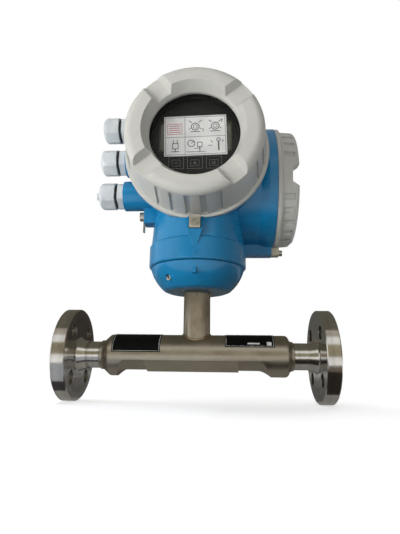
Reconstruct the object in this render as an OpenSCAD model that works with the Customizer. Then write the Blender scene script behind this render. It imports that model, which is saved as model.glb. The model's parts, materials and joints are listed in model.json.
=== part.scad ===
// Coriolis flow meter: flanged straight-tube sensor with a neck-mounted field transmitter.
// The origin is the centre of the inlet flange's sealing face. +X follows the flow,
// +Z points up to the transmitter and -Y is the display side. Millimetres.

/* [Process connection] */
// Length between the two sealing faces
face_to_face = 281; // [276:1:330]
// Outside diameter of each flange
flange_d = 95; // [92:1:115]
// Thickness of each flange with its raised face
flange_t = 16; // [12:0.5:22]
// Diameter of the raised sealing face
raised_face_d = 45; // [38:1:48]
// Height of the raised sealing face
raised_face_h = 2; // [1:0.5:3]
// Diameter of the bolt circle
bolt_circle_d = 65; // [64:1:75]
// Diameter of the bolt holes
bolt_hole_d = 14; // [10:0.5:15]
// Number of bolt holes in each flange
bolt_count = 4; // [4, 8]
// Bore of the flanges and their stubs
flow_bore_d = 17.3; // [14:0.1:19]
// Diameter of the hub where it leaves the flange
hub_d = 33; // [30:1:36]
// Length of the tapered hub behind the flange
hub_l = 9; // [6:1:12]
// Diameter of the stub that is welded to the sensor body
stub_d = 27.5; // [26:0.5:28]
// Distance from the flange's back to the sensor body
stub_l = 24.5; // [18:0.5:26]

/* [Sensor body] */
// Diameter of the round sensor body
body_d = 42.6; // [41:0.2:46]
// Wall of the sensor body
body_wall = 2.6; // [2:0.1:3]
// Diameter of the end rings, where the stubs are welded on
end_ring_d = 30; // [28.5:0.5:32]
// Length of the end rings
end_ring_l = 3; // [3:0.5:4]
// Slope of the inlet's shoulder between its end ring and the full diameter
inlet_slope = 42; // [35:1:65]
// Slope of the outlet's shoulder
outlet_slope = 65; // [35:1:68]
// Radius of the rounding at both sides of the shoulders
shoulder_r = 4; // [2:0.5:4]
// Width of the full round collar at each end
collar_w = 17; // [14:1:22]
// Distance from the axis down to the flat underside
underside_h = 15; // [14.5:0.1:16]
// Distance from the axis to the two slanted facets beside the underside
facet_h = 18.4; // [17.6:0.1:18.6]
// Radius of the run-out between the underside and the inlet's collar
inlet_runout_r = 9; // [7:0.5:12]
// Radius of the run-out between the underside and the outlet's collar
outlet_runout_r = 20; // [9:0.5:24]
// Length of the saddle cover under the body
saddle_l = 96; // [80:1:110]
// How far the saddle cover's middle lies towards the inlet
saddle_shift = 4.7; // [0:0.1:8]
// How far the saddle cover's inlet end slopes
saddle_slope = 5; // [0:0.5:8]
// Thickness of the saddle cover's sheet
saddle_t = 1.6; // [1:0.1:2.5]
// Width of the black name plates around the upper front
plate_l = 50; // [40:1:56]
// Thickness of the name plates
plate_t = 0.4; // [0.3:0.1:0.8]
// Distance from the neck axis to the middle of the inlet's name plate
inlet_plate_x = 61; // [50:1:62]
// Distance from the neck axis to the middle of the outlet's name plate
outlet_plate_x = 55; // [50:1:62]
// Arc of the inlet's name plate, from the top towards the front
inlet_plate_arc = 83; // [45:1:88]
// Arc of the outlet's name plate, from the top towards the front
outlet_plate_arc = 67; // [45:1:88]

/* [Measuring system] */
// Bore of the measuring tube
tube_bore_d = 9; // [7:0.1:9.6]
// Wall of the measuring tube
tube_wall = 0.8; // [0.5:0.1:0.9]
// Outside diameter of the balance tube around the measuring tube
balance_d = 17; // [16:0.5:18]
// Wall of the balance tube
balance_wall = 1.2; // [1:0.1:1.5]
// Length of the balance tube
balance_l = 124; // [110:1:126]
// Distance from the neck axis to each pick-up
pickup_x = 38; // [32:1:42]
// Diameter of the coils
coil_d = 11; // [9:0.5:12]
// Height of the coils
coil_h = 5; // [4:0.5:5.5]

/* [Neck] */
// Outside diameter of the neck tube
neck_d = 28.6; // [27:0.2:30]
// Wall of the neck tube
neck_wall = 2; // [1.5:0.1:2.5]
// Height from the pipe axis to the underside of the adapter cone
cone_z = 67; // [58:1:90]

/* [Adapter cone] */
// Diameter of the cone's flat underside
cone_bottom_d = 64.4; // [60:0.5:70]
// Diameter of the cone at the seam
cone_top_d = 102; // [98:0.5:104]
// Height of the cone up to the seam
cone_h = 24.6; // [22:0.2:30]
// Radius of the cone's convex flank
cone_bulge_r = 46; // [40:1:80]
// Thickness of the cone's floor
cone_floor = 4.5; // [4:0.5:5]
// Outside diameter of the housing's collar that turns inside the cone
collar_d = 76; // [74:0.5:78]
// Diameter of the set screws
set_screw_d = 6; // [5:0.5:6]
// Height of the set screws above the cone's underside
set_screw_z = 10; // [9.5:0.5:11]
// Gap of the seam between cone and housing
seam = 0.6; // [0.4:0.1:1]

/* [Transmitter housing] */
// Diameter of the housing's round base
base_d = 106.4; // [104:0.2:110]
// Height of the base's cylindrical part
base_h = 23; // [20:1:26]
// Height from the pipe axis to the display's axis
axis_z = 214; // [212:1:225]
// Wall of the castings
wall = 5; // [4:0.5:5.5]
// Diameter of the display barrel
display_barrel_d = 148; // [146:1:152]
// Distance from the neck axis to the joint face of the display cover
display_face = 40; // [38:1:44]
// Diameter of the terminal barrel
terminal_barrel_d = 141; // [138:1:142]
// Diameter of the terminal barrel's mouth flange
mouth_d = 147; // [144:1:150]
// Distance from the neck axis to the joint face of the terminal cover
terminal_face = 87; // [86:0.5:95]
// Distance from the neck axis to the closed end of the terminal barrel
terminal_end = 40; // [36:1:44]
// How far the terminal barrel's axis lies below the display's axis
terminal_drop = 14; // [12:1:16]
// Distance from the neck axis to the closed back of the display barrel
display_back = 64; // [60:1:70]
// How far the terminal barrel's axis lies behind the neck axis
terminal_back = 34; // [33:1:38]
// Diameter of the electronics compartment
electronics_d = 116; // [112:1:118]
// Diameter of the terminal compartment
terminal_bore_d = 120; // [114:1:122]

/* [Screw covers] */
// Diameter of the display cover's thread
thread_d = 136; // [134:1:138]
// Length of the covers' threads
thread_l = 9; // [7:0.5:9.5]
// Diameter of the display cover's rim
rim_d = 155; // [153:1:158]
// Diameter of the terminal cover's rim
terminal_rim_d = 146; // [144:1:149]
// Thickness of the covers' rims
rim_t = 5.5; // [4:0.5:7]
// Diameter of the display cover's ribbed skirt beside the rim
skirt_d = 148; // [146:0.5:151]
// Diameter of the display cover's crown, where the skirt ends
crown_d = 139; // [134:0.5:142]
// Radius of the display cover's rounded front edge
crown_r = 9; // [6:1:10]
// Radius of the terminal cover's rounded front edge
terminal_crown_r = 5; // [3:0.5:7]
// Depth of the display cover in front of its joint face
display_cover_h = 52; // [50:1:60]
// Depth of the terminal cover in front of its joint face
terminal_cover_h = 24; // [23:0.5:32]
// Inner diameter of the raised crown ring
crest_d = 103; // [100:1:106]
// Diameter of the window opening
window_d = 91; // [84:1:94]
// Depth of the window opening below the crown
window_drop = 12; // [9:0.5:14]
// Thickness of the window glass
glass_t = 6; // [5:0.5:8]
// Width of the tool recesses at the crown
notch_w = 24; // [18:1:28]
// Depth of the tool recesses
notch_h = 8; // [6:0.5:9]
// Turn of the recesses on the display cover
display_notch_turn = 40; // [0:1:89]
// Turn of the recesses on the terminal cover
terminal_notch_turn = 8; // [0:1:89]
// Depth of the grip grooves in the skirts
groove_h = 1.8; // [1:0.1:2]
// Width of the grip grooves
groove_w = 6; // [4:0.5:7]
// Number of grip grooves between two recesses
groove_count = 5; // [3:1:5]
// Thickness of the covers' flat seals
seal_t = 1.2; // [0.8:0.1:2]

/* [Display module] */
// Diameter of the display module
module_d = 96; // [92:1:98]
// Thickness of the display module
module_t = 22; // [18:0.5:24]
// Gap between the window glass and the display module
module_gap = 4; // [3.5:0.5:6]
// Width of the screen
screen_w = 72; // [60:1:74]
// Height of the screen
screen_h = 31; // [26:1:34]
// Distance between the touch keys
key_pitch = 19; // [17:0.5:20]
// Width of the touch keys
key_w = 14; // [11:0.5:15]

/* [Cable glands] */
// Height between two glands
gland_pitch = 41; // [38:0.5:42]
// How far the glands lie in front of the neck axis
gland_front = 18; // [17:0.5:19]
// Distance from the neck axis to the faces of the gland bosses
gland_face = 80.5; // [79:0.5:86]
// Diameter of the gland bosses
gland_boss_d = 33; // [30:0.5:34]
// Diameter of the gland thread
gland_thread_d = 20; // [16:0.5:20]
// Width across flats of the gland bodies
gland_af = 27; // [25:0.5:29]
// Height of the gland body's hexagon
gland_hex_h = 7; // [6:0.5:9]
// Diameter of the gland caps
cap_d = 30.6; // [29:0.2:32]
// Length of the gland caps
cap_l = 18; // [16:0.5:22]
// Diameter of the opening in the gland caps
cap_bore_d = 12; // [10:0.5:13]
// Diameter of the cable that the glands seal
cable_d = 8; // [6:0.5:9]

/* [Clamps and ground terminal] */
// Width of the cover clamps
clamp_w = 11; // [9:0.5:13]
// Height of the display cover's clamp
display_clamp_h = 13.5; // [12:0.5:15]
// Height of the terminal cover's clamp
terminal_clamp_h = 9.5; // [9:0.5:14]
// Depth of the display cover's clamp
display_clamp_t = 20; // [18:0.5:22]
// Depth of the terminal cover's clamp
terminal_clamp_t = 9; // [8:0.5:12]
// Diameter of the clamp screws' heads
clamp_head_d = 7; // [6:0.5:8.5]

/* [Hidden] */
$fn = 96;

// Clearances
run_gap = 0.06;    // between a shaft and its bore and between faces that turn on each other
free_gap = 0.3;    // between pieces that move past each other
cut = 1;           // how far a cutter runs past the surface

// Places along the pipe
mid_x = face_to_face / 2;
body_x = flange_t + stub_l;
body_l = face_to_face - 2 * body_x;
body_r = body_d / 2;
neck_r = neck_d / 2;
seam_z = cone_z + cone_h;
terminal_z = axis_z - terminal_drop;

// Frames: local +Z becomes the direction in the name
module to_plus_x() rotate([0, 90, 0]) children();
module to_minus_x() rotate([0, -90, 0]) children();
module to_minus_y() rotate([90, 0, 0]) children();
module at_neck() translate([mid_x, 0, 0]) children();
module at_display() at_neck() to_display() children();
module at_terminal() at_neck() to_terminal() children();
module at_gland(i) at_neck() to_gland(i) children();
module to_display() translate([0, -display_face, axis_z]) to_minus_y() children();
module to_terminal() translate([terminal_face, terminal_back, terminal_z]) to_plus_x() rotate(90) children();
module to_gland(i) translate([-gland_face, -gland_front, axis_z + (2 - i) * gland_pitch]) to_minus_x() children();

// Ring with a rectangular section
module ring(r_out, r_in, h) difference() {
  cylinder(r = r_out, h = h);
  translate([0, 0, -cut]) cylinder(r = r_in, h = h + 2 * cut);
}

// 2-D cutter that rounds a corner at the origin, for a body that lies towards -X and -Y
module round_off(r) difference() {
  translate([-r, -r]) square(r + cut);
  translate([-r, -r]) circle(r);
}

// Rectangle with four rounded corners
module plate_shape(w, h, r) difference() {
  translate([-w / 2, -h / 2]) square([w, h]);
  for (i = [0, 1], j = [0, 1]) mirror([i, 0]) mirror([0, j]) translate([w / 2, h / 2]) round_off(r);
}

// Hexagonal prism by its width across flats
module hexagon(af, h) cylinder(d = af / cos(30), h = h, $fn = 6);

// ---- Process connections ----

module weld_neck_flange() {
  edge = 1;
  difference() {
    rotate_extrude() polygon([
      [flow_bore_d / 2, 0], [raised_face_d / 2, 0], [raised_face_d / 2, raised_face_h],
      [flange_d / 2 - edge, raised_face_h], [flange_d / 2, raised_face_h + edge],
      [flange_d / 2, flange_t - edge], [flange_d / 2 - edge, flange_t],
      [hub_d / 2 + edge, flange_t], [hub_d / 2, flange_t + edge],
      [stub_d / 2, flange_t + hub_l], [stub_d / 2, body_x], [flow_bore_d / 2, body_x]]);
    for (i = [0:bolt_count - 1]) rotate((i + 0.5) * 360 / bolt_count)
      translate([bolt_circle_d / 2, 0, -cut]) cylinder(d = bolt_hole_d, h = flange_t + 2 * cut);
  }
}

module inlet_flange() color("silver") to_plus_x() weld_neck_flange();

module outlet_flange() color("silver") translate([face_to_face, 0, 0]) to_minus_x() weld_neck_flange();

// ---- Sensor body ----

facet_turn = 45;
facet_short = 3;
tube_r = tube_bore_d / 2 + tube_wall;
end_wall = 13;
spigot_r = flow_bore_d / 2 + 2.2;
body_in_r = body_r - body_wall;

// Room below the sensor body: flat in the middle, slanted at both sides, with run-outs at the ends
module underside_room(grow, span) for (side = [-1, 0, 1]) {
  drop = (side == 0 ? underside_h : facet_h) - grow;
  half = (span - (side == 0 ? 0 : facet_short)) / 2;
  rotate([side * facet_turn, 0, 0]) translate([mid_x, 0, -drop]) rotate([90, 0, 0])
    linear_extrude(2 * body_d, center = true) difference() {
      translate([-half, -body_d]) square([2 * half, body_d]);
      mirror([1, 0]) translate([half, 0]) round_off(inlet_runout_r);
      translate([half, 0]) round_off(outlet_runout_r);
    }
}

// Half profile of the body: end ring, rounded slope up to the full radius, plain length
end_ring_r = end_ring_d / 2;

module body_half(slope) difference() {
  slope_end = end_ring_l + (body_r - end_ring_r) / tan(slope);
  round_l = shoulder_r * tan(slope / 2);
  round_x = round_l * cos(slope);
  round_y = round_l * sin(slope);
  polygon([[0, 0], [end_ring_r, 0], [end_ring_r, end_ring_l - round_l], [end_ring_r + round_y, end_ring_l + round_x],
    [body_r, slope_end], [body_r, body_l / 2], [0, body_l / 2]]);
  translate([end_ring_r + shoulder_r, end_ring_l - round_l]) circle(shoulder_r);
  difference() {
    polygon([[body_r, slope_end + round_l], [body_r, slope_end], [body_r - round_y, slope_end - round_x]]);
    translate([body_r - shoulder_r, slope_end + round_l]) circle(shoulder_r);
  }
}

module body_envelope() translate([body_x, 0, 0]) to_plus_x() rotate_extrude() union() {
  body_half(inlet_slope);
  translate([0, body_l]) mirror([0, 1]) body_half(outlet_slope);
}

module neck_bore() at_neck() cylinder(r = neck_r - neck_wall, h = body_d);

module sensor_body() color("darkgray") difference() {
  body_envelope();
  underside_room(0, body_l - 2 * collar_w);
  difference() {
    translate([body_x + end_wall, 0, 0]) to_plus_x() cylinder(r = body_in_r, h = body_l - 2 * end_wall);
    underside_room(body_wall, body_l - 2 * collar_w + 2 * body_wall);
  }
  translate([body_x - cut, 0, 0]) to_plus_x() cylinder(r = spigot_r, h = body_l + 2 * cut);
  neck_bore();
}

// U-shaped sheet that closes the cut-away underside in the middle
facet_a = acos(facet_h / body_r);
saddle_y = body_r * cos(facet_turn - facet_a);
saddle_z = -body_r * sin(facet_turn - facet_a);
saddle_bottom = underside_h + saddle_t;

saddle_x = mid_x - saddle_shift - saddle_l / 2;
saddle_h = saddle_z + saddle_bottom;

module saddle_side(x, z, l, h) translate([x, saddle_y, z]) rotate([90, 0, 0]) linear_extrude(2 * saddle_y)
  polygon([[saddle_slope, 0], [l, 0], [l, h], [0, h]]);

module saddle_cover() color("darkgray") difference() {
  saddle_side(saddle_x, -saddle_bottom, saddle_l, saddle_h);
  translate([saddle_x + saddle_t + saddle_slope, saddle_t - saddle_y, -underside_h])
    cube([saddle_l - 2 * saddle_t - saddle_slope, 2 * (saddle_y - saddle_t), saddle_bottom]);
  difference() {
    to_plus_x() cylinder(r = body_r, h = face_to_face);
    underside_room(0, body_l);
  }
}

// Curved plate from the top of the body towards the front
module name_plate(x, arc) translate([mid_x + x - plate_l / 2, 0, 0]) rotate([180, 0, 0]) to_plus_x()
  rotate_extrude(angle = arc) translate([body_r, 0]) square([plate_t, plate_l]);

module inlet_plate() color("black") name_plate(-inlet_plate_x, inlet_plate_arc);

module outlet_plate() color("black") name_plate(outlet_plate_x, outlet_plate_arc);

// ---- Measuring system ----

spigot_l = 12;
reducer_l = 14;
reducer_end = spigot_l + reducer_l;

module measuring_tube() color("lightsteelblue") translate([body_x, 0, 0]) to_plus_x() rotate_extrude() polygon([
  [flow_bore_d / 2, 0], [spigot_r, 0], [spigot_r, spigot_l], [tube_r, reducer_end],
  [tube_r, body_l - reducer_end], [spigot_r, body_l - spigot_l], [spigot_r, body_l], [flow_bore_d / 2, body_l],
  [flow_bore_d / 2, body_l - spigot_l], [tube_bore_d / 2, body_l - reducer_end],
  [tube_bore_d / 2, reducer_end], [flow_bore_d / 2, spigot_l]]);

balance_r = balance_d / 2;
balance_in_r = balance_r - balance_wall;
ring_t = 5;
window_r = coil_d / 2 - 1.5;

module balance_tube() color("gray") difference() {
  translate([mid_x - balance_l / 2, 0, 0]) to_plus_x() ring(balance_r, balance_in_r, balance_l);
  for (x = [-pickup_x, 0, pickup_x]) translate([mid_x + x, 0, 0]) cylinder(r = window_r, h = body_r);
}

module coupling_rings() color("slategray") for (side = [0, 1])
  translate([mid_x - balance_l / 2 + side * (balance_l - ring_t), 0, 0]) to_plus_x() ring(balance_in_r, tube_r, ring_t);

// A coil sits over each window in the balance tube; its magnet stands on the measuring tube
coil_z = balance_r + 0.4;
magnet_r = window_r - 0.8;

module coil() difference() {
  cylinder(d = coil_d, h = coil_z + coil_h);
  translate([0, 0, -cut]) cylinder(r = window_r, h = coil_z + coil_h + 2 * cut);
  rotate([0, 90, 0]) translate([0, 0, -coil_d]) cylinder(r = balance_r, h = 2 * coil_d);
}

module magnet() difference() {
  cylinder(r = magnet_r, h = coil_z + coil_h - 1);
  rotate([0, 90, 0]) translate([0, 0, -coil_d]) cylinder(r = tube_r, h = 2 * coil_d);
}

module drive_coil() color("peru") at_neck() coil();

module drive_magnet() color("dimgray") at_neck() magnet();

module pickup_coils() color("peru") for (x = [-pickup_x, pickup_x]) translate([mid_x + x, 0, 0]) coil();

module pickup_magnets() color("dimgray") for (x = [-pickup_x, pickup_x]) translate([mid_x + x, 0, 0]) magnet();

// Flat sensors glued to the measuring tube beside the balance tube
probe = [8, 3, 1.6];
module temperature_sensors() color("khaki") for (side = [-1, 1])
  translate([mid_x + side * (balance_l / 2 + probe[0] / 2 + 0.5), 0, 0]) difference() {
    translate([-probe[0] / 2, -probe[1] / 2, 0]) cube([probe[0], probe[1], tube_r + probe[2]]);
    rotate([0, 90, 0]) translate([0, 0, -probe[0]]) cylinder(r = tube_r, h = 2 * probe[0]);
  }

// Wires of the coils: along the coil tops and up the neck
wire_r = 0.9;
harness_z = coil_z + coil_h;
feed_t = 6;
feed_z = cone_z - feed_t - 4;
harness_x = coil_d / 2 - 1.2;
socket_l = 1.5;
pin_l = 5;

module harness_leg(x, dir) {
  translate([mid_x + x, 0, harness_z + wire_r]) {
    sphere(wire_r, $fn = 24);
    rotate([0, dir * 90, 0]) cylinder(r = wire_r, h = abs(x) - harness_x, $fn = 24);
  }
  translate([mid_x - dir * harness_x, 0, harness_z + wire_r]) {
    sphere(wire_r, $fn = 24);
    cylinder(r = wire_r, h = feed_z - harness_z - wire_r + socket_l, $fn = 24);
  }
}

module sensor_harness() color("red") {
  harness_leg(-pickup_x, 1);
  harness_leg(pickup_x, -1);
}

// ---- Neck and adapter cone ----

neck_top = cone_z + cone_floor + 4;

module neck_tube() color("silver") difference() {
  at_neck() ring(neck_r, neck_r - neck_wall, neck_top);
  to_plus_x() cylinder(r = body_r, h = face_to_face);
}

neck_flange_r = neck_r + 11;
neck_flange_t = 3.5;
screw_circle_r = neck_r + 6;
neck_screw_r = 2;

module neck_screw_holes(r) for (i = [0:3]) rotate(45 + 90 * i) translate([screw_circle_r, 0, cone_z + cone_floor - 5])
  cylinder(r = r, h = 20, $fn = 32);

module neck_flange() color("silver") at_neck() difference() {
  translate([0, 0, cone_z + cone_floor]) ring(neck_flange_r, neck_r, neck_flange_t);
  neck_screw_holes(neck_screw_r);
}

module neck_screws() color("gray") at_neck() for (i = [0:3]) rotate(45 + 90 * i)
  translate([screw_circle_r, 0, cone_z + cone_floor + neck_flange_t]) {
    difference() {
      cylinder(r = 3.5, h = 3, $fn = 32);
      translate([0, 0, 1.2]) hexagon(3, 3);
    }
    translate([0, 0, -neck_flange_t - 4.5]) cylinder(r = neck_screw_r, h = neck_flange_t + 4.5, $fn = 32);
  }

module feedthrough() color("darkgoldenrod") at_neck() translate([0, 0, feed_z]) {
  difference() {
    cylinder(r = neck_r - neck_wall, h = feed_t);
    for (x = [-harness_x, harness_x]) translate([x, 0, -cut])
      cylinder(r = wire_r, h = socket_l + cut, $fn = 24);
  }
  for (i = [0:5]) rotate(60 * i) translate([5, 0, feed_t]) cylinder(r = 0.6, h = pin_l, $fn = 24);
}

collar_r = collar_d / 2;
collar_wall = 4;
collar_l = cone_h + seam - cone_floor - 1;
cone_lip = 1.6;

// Centre of the arc through the flank's lower and upper ends
flank_low = [cone_bottom_d / 2 + 2.6 * cone_lip, cone_z + cone_lip];
flank_high = [cone_top_d / 2, seam_z];
flank_mid = (flank_low + flank_high) / 2;
flank_chord = flank_high - flank_low;
flank_len = norm(flank_chord);
flank_off = sqrt(cone_bulge_r * cone_bulge_r - flank_len * flank_len / 4);
flank_centre = flank_mid + flank_off / flank_len * [-flank_chord[1], flank_chord[0]];

set_screw_turns = [-129, -9, 111];
set_screw_l = 7;

module set_screw_holes(r, from, l) for (a = set_screw_turns) rotate(a)
  translate([from, 0, cone_z + set_screw_z]) to_plus_x() cylinder(r = r, h = l);

index_w = 3;
index_h = 1.2;

// Raised mark that shows how far the housing is turned
module index_mark(r, z, h) translate([-index_w / 2, -r - index_h, z]) cube([index_w, 6 + index_h, h]);

module adapter_cone() color("dodgerblue") at_neck() difference() {
  union() {
    rotate_extrude() intersection() {
      polygon([[0, cone_z], [cone_bottom_d / 2, cone_z], flank_low, [base_d, cone_z + cone_lip],
        [base_d, seam_z], [0, seam_z]]);
      translate(flank_centre) circle(cone_bulge_r, $fn = 128);
    }
    index_mark(cone_top_d / 2 - 2, seam_z - 13, 6);
  }
  translate([0, 0, cone_z + cone_floor]) cylinder(r = collar_r + run_gap, h = cone_h);
  translate([0, 0, cone_z - cut]) cylinder(r = neck_r, h = cone_h);
  neck_screw_holes(neck_screw_r);
  set_screw_holes(set_screw_d / 2, collar_r - 3, base_d);
}

groove_depth = 1.5;

module set_screws() color("gray") at_neck() difference() {
  set_screw_holes(set_screw_d / 2, collar_r - groove_depth + free_gap, set_screw_l);
  for (a = set_screw_turns) rotate(a)
    translate([collar_r - groove_depth + set_screw_l - 2, 0, cone_z + set_screw_z]) to_plus_x() hexagon(3, set_screw_l);
}

// ---- Transmitter housing ----

base_z = seam_z + seam;
base_r = base_d / 2;
display_r = display_barrel_d / 2;
terminal_r = terminal_barrel_d / 2;
mouth_r = mouth_d / 2;
thread_r = thread_d / 2;
rim_r = rim_d / 2;
terminal_rim_r = terminal_rim_d / 2;
smaller = rim_r - terminal_rim_r;
terminal_thread_r = thread_r - smaller;
thread_end = thread_l + free_gap;
electronics_r = electronics_d / 2;
electronics_depth = 30;
bulkhead = 6;
terminal_bore_r = terminal_bore_d / 2;
mouth_l = 9;
edge_r = 14;
// Front of the wire room, behind the electronics compartment's bulkhead
bulkhead_y = -display_face + electronics_depth + bulkhead;
duct_in = electronics_r + 4;
duct_out = display_r - 4;
duct_front = gland_front + gland_thread_d / 2 - 1;
terminal_depth = terminal_face - duct_in;
gland_boss_l = gland_face - 30;
outer_hole_l = gland_face + 4 - sqrt(duct_in * duct_in - gland_pitch * gland_pitch);
gland_hole_l = [outer_hole_l, gland_face + 3 - duct_in, outer_hole_l];
wire_room_r = display_r - 8;
base_top = base_z + base_h;
stem_low_r = base_r - 1.7;
stem_high_r = base_r - 5;
shaft_y = 18;
shaft_r = 12;
clamp_gap = 0.4;
clamp_base = -2;
boss_h = 17;
lug_r = 6;
ground_z = axis_z - gland_pitch - gland_boss_d / 2 - lug_r - 0.5;
ground_y = -14;
ground_face = base_r + 5;
lug_t = 1.6;
ground_boss = [30, 16, 19];
seal_groove = [1.6, 2];
seal_groove_z = base_z - 5;

// Round base with a conical stem up to the barrels
module base_shape() rotate_extrude() difference() {
  union() {
    translate([0, base_z]) square([base_r, base_h]);
    polygon([[0, base_top], [base_r, base_top], [stem_low_r, base_top + 1.5], [stem_high_r, axis_z - 50],
      [0, axis_z - 50]]);
  }
  translate([base_r, base_z]) mirror([0, 1]) round_off(2.5);
}

module display_barrel() translate([0, -display_face, axis_z]) rotate([-90, 0, 0]) rotate_extrude() difference() {
  square([display_r, display_face + display_back]);
  translate([display_r, display_face + display_back]) round_off(edge_r);
}

module terminal_barrel() translate([-terminal_end, terminal_back, terminal_z]) to_plus_x() rotate_extrude() difference() {
  mouth = terminal_end + terminal_face;
  union() {
    square([terminal_r, mouth]);
    polygon([[0, mouth - mouth_l - 8], [terminal_r, mouth - mouth_l - 8], [mouth_r, mouth - mouth_l],
      [mouth_r, mouth], [0, mouth]]);
  }
  translate([terminal_r, 0]) mirror([0, 1]) round_off(edge_r);
}

// Tapering boss below the display cover's clamp
module display_clamp_boss() translate([0, 0, axis_z - rim_r - clamp_gap - display_clamp_h - boss_h]) intersection() {
  rotate([90, 0, 0]) linear_extrude(base_d) polygon([[-2.5, 0], [2.5, 0], [clamp_w / 2 + 2.5, boss_h],
    [clamp_w / 2 + 2.5, boss_h + display_clamp_h], [-clamp_w / 2 - 2.5, boss_h + display_clamp_h],
    [-clamp_w / 2 - 2.5, boss_h]]);
  translate([-clamp_w, 0, 0]) rotate([90, 0, 90]) linear_extrude(2 * clamp_w) polygon([[0, 0], [-base_r, 0],
    [-display_face - display_clamp_t + 4, boss_h], [-display_face - 12, boss_h + display_clamp_h],
    [0, boss_h + display_clamp_h]]);
}

// Straight boss under the terminal barrel that carries the terminal cover's clamp
module terminal_clamp_boss() translate([30, terminal_back - clamp_w / 2 - 2,
  terminal_z - terminal_rim_r - clamp_gap - terminal_clamp_h]) cube([terminal_face - 32, clamp_w + 4, terminal_clamp_h + 20]);

module ground_block() translate([-ground_face, ground_y - ground_boss[1] / 2, ground_z - ground_boss[2] / 2])
  cube(ground_boss);

module gland_boss(i) to_gland(i) translate([0, 0, -gland_boss_l]) cylinder(d = gland_boss_d, h = gland_boss_l);

module electronics_room() to_display() {
  translate([0, 0, -electronics_depth]) cylinder(r = electronics_r, h = electronics_depth + cut);
  translate([0, 0, -thread_end]) cylinder(r = thread_r + run_gap, h = thread_end + cut);
}

module wire_room() {
  // Behind the bulkhead: one bore along each barrel
  translate([0, bulkhead_y, axis_z]) rotate([-90, 0, 0]) cylinder(r = wire_room_r, h = display_back - bulkhead_y - 8);
  intersection() {
    translate([-terminal_end + wall + 1, terminal_back, terminal_z]) to_plus_x()
      cylinder(r = terminal_bore_r, h = terminal_end + electronics_r + 4 - wall);
    translate([-base_d, bulkhead_y, 0]) cube([2 * base_d, 2 * base_d, 2 * axis_z]);
  }
  // Full round behind the mouth
  to_terminal() {
    translate([0, 0, -terminal_depth]) cylinder(r = terminal_bore_r, h = terminal_depth + cut);
    translate([0, 0, -thread_end]) cylinder(r = terminal_thread_r + run_gap, h = thread_end + cut);
  }
  // Duct from the glands round the electronics compartment
  intersection() {
    translate([0, -duct_front, axis_z]) rotate([-90, 0, 0]) ring(duct_out, duct_in, duct_front + bulkhead_y + cut);
    translate([-base_d, -base_r, axis_z - gland_pitch - gland_thread_d / 2])
      cube([base_d, base_d, 2 * gland_pitch + gland_thread_d]);
  }
}

// Room in front of the display cover's joint face
module cover_room() to_display() difference() {
  cylinder(r = rim_r + 1.2, h = base_d);
  translate([-clamp_w, -base_d - rim_r - clamp_gap, -cut]) cube([2 * clamp_w, base_d, base_d]);
}

// Room for a clamp below a rim of radius r and the hole of its screw
module clamp_room(r, h) {
  translate([-clamp_w / 2 - clamp_gap, -r - h - 2 * clamp_gap, clamp_base])
    cube([clamp_w + 2 * clamp_gap, h + 2 * clamp_gap, base_d]);
  clamp_screw_hole(r, h);
}

module transmitter_housing() color("dodgerblue") at_neck() difference() {
  union() {
    difference() {
      union() {
        base_shape();
        display_barrel();
        terminal_barrel();
        for (i = [1:3]) gland_boss(i);
        ground_block();
        terminal_clamp_boss();
        display_clamp_boss();
        index_mark(base_r - 1, base_z + 3, 5);
      }
      cover_room();
      // Hollow base and the shaft for the sensor cable
      translate([0, 0, base_z + wall]) cylinder(r = base_r - wall - 2, h = base_h - wall);
      translate([0, shaft_y, base_z]) cylinder(r = shaft_r, h = terminal_z - base_z);
    }
    // Collar that turns inside the adapter cone
    translate([0, 0, base_z - collar_l]) cylinder(r = collar_r, h = collar_l + wall);
  }
  translate([0, 0, base_z - collar_l - cut]) cylinder(r = collar_r - collar_wall, h = collar_l + wall + 2 * cut);
  // Groove for the set screws
  translate([0, 0, cone_z + set_screw_z - set_screw_d / 2 - 0.5]) ring(collar_r + cut, collar_r - groove_depth, set_screw_d + 1);
  // Groove for the base seal
  translate([0, 0, seal_groove_z]) ring(collar_r + cut, collar_r - seal_groove[0], seal_groove[1]);
  electronics_room();
  wire_room();
  for (i = [1:3]) to_gland(i) translate([0, 0, -gland_hole_l[i - 1]]) cylinder(d = gland_thread_d, h = gland_hole_l[i - 1] + cut);
  to_display() clamp_room(rim_r, display_clamp_h);
  to_terminal() clamp_room(terminal_rim_r, terminal_clamp_h);
  to_ground() translate([0, 0, -ground_screw_l - 2]) cylinder(r = ground_screw_r, h = ground_screw_l + 2 + cut, $fn = 32);
}

module base_seal() color("black") at_neck() translate([0, 0, seal_groove_z])
  ring(collar_r, collar_r - seal_groove[0], seal_groove[1]);

// Cable from the sensor's feedthrough through the housing's shaft to the electronics
cable_r = 3.5;
plug_h = 9;
plug_r = 8;
plug_z = feed_z + feed_t + pin_l + free_gap;
bend_z = base_z + 8;
grommet_t = 4;
shaft_top = terminal_z - terminal_bore_r + 20;

module sensor_cable() color("dimgray") at_neck() {
  translate([0, 0, plug_z]) cylinder(r = plug_r, h = plug_h);
  translate([0, 0, plug_z + plug_h]) cylinder(r = cable_r, h = bend_z - plug_z - plug_h);
  translate([0, 0, bend_z]) {
    sphere(cable_r);
    rotate([-90, 0, 0]) cylinder(r = cable_r, h = shaft_y);
    translate([0, shaft_y, 0]) {
      sphere(cable_r);
      cylinder(r = cable_r, h = shaft_top - bend_z);
    }
  }
  // Grommet in the shaft
  translate([0, shaft_y, base_top + grommet_t]) cylinder(r = shaft_r, h = grommet_t);
}

// ---- Electronics ----

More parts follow.
